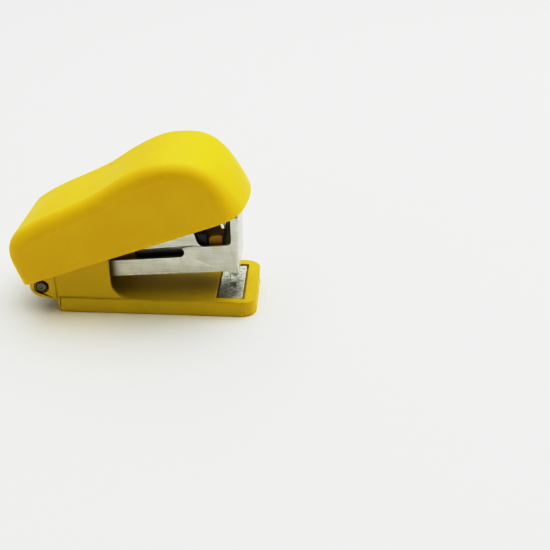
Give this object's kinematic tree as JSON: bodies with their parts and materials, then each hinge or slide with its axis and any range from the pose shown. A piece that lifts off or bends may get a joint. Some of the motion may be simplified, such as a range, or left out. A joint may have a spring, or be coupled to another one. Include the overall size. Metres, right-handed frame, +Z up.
{
  "type": "stapler",
  "caption": "Compact desk stapler with a moulded base and press handle, a slotted steel magazine, a spring follower, a driver blade and an anvil plate.",
  "frame": {"origin": "on the surface that the base stands on, under the middle of the stapler's outer box", "axes": "+X from the pivot towards the anvil, +Y to the left side, +Z up"},
  "size_m": [0.0426, 0.0194, 0.029],
  "materials": {
    "base_plastic": "satin moulded ABS, deep yellow",
    "cover_plastic": "satin moulded ABS, lemon yellow",
    "inner_plastic": "plain moulded plastic, golden yellow",
    "magazine_steel": "bright zinc plated sheet steel, lightly brushed",
    "frame_steel": "plain sheet steel, satin",
    "anvil_steel": "nickel plated, mottled by use",
    "bright_steel": "bright plated steel",
    "spring_steel": "tempered spring steel",
    "dark_steel": "blackened sheet steel"
  },
  "bodies": {
    "base": {"base_body": "base_plastic", "anvil_plate": "anvil_steel", "magazine_lift_spring": "spring_steel", "lift_spring_rivet": "bright_steel", "pivot_pin": "bright_steel"},
    "magazine": {"magazine_channel": "magazine_steel", "staple_rail": "magazine_steel", "rail_rivet_left": "bright_steel", "rail_rivet_right": "bright_steel", "rail_core": "inner_plastic", "core_rivet": "bright_steel", "guide_rod": "bright_steel", "follower_spring": "spring_steel", "pivot_sleeve": "bright_steel"},
    "follower": {"follower": "inner_plastic", "follower_slider": "dark_steel"},
    "handle": {"handle_cover": "cover_plastic", "handle_frame": "frame_steel", "driver_blade": "bright_steel", "driver_rivet_left": "bright_steel", "driver_rivet_right": "bright_steel", "handle_return_spring": "spring_steel", "return_spring_rivet": "bright_steel"}
  },
  "joints": [
    {"name": "magazine_pivot", "type": "hinge", "parent": "base", "child": "magazine", "pos_m": [-0.01655, 0, 0.0049], "axis": [0, -1, 0], "range_deg": [-6.3, 0], "stiffness_Nm_per_rad": 0.3, "springref_deg": 6.88, "deforming": ["magazine_lift_spring"]},
    {"name": "handle_pivot", "type": "hinge", "parent": "magazine", "child": "handle", "pos_m": [-0.01655, 0, 0.0049], "axis": [0, -1, 0], "range_deg": [-13.5, 90], "stiffness_Nm_per_rad": 0.12, "springref_deg": 0.46, "deforming": ["handle_return_spring"]},
    {"name": "follower_slide", "type": "slide", "parent": "magazine", "child": "follower", "axis": [-0.9957, 0, -0.0924], "range_m": [0, 0.0145], "stiffness_N_per_m": 50, "springref_m": -0.02, "deforming": ["follower_spring"]}
  ]
}
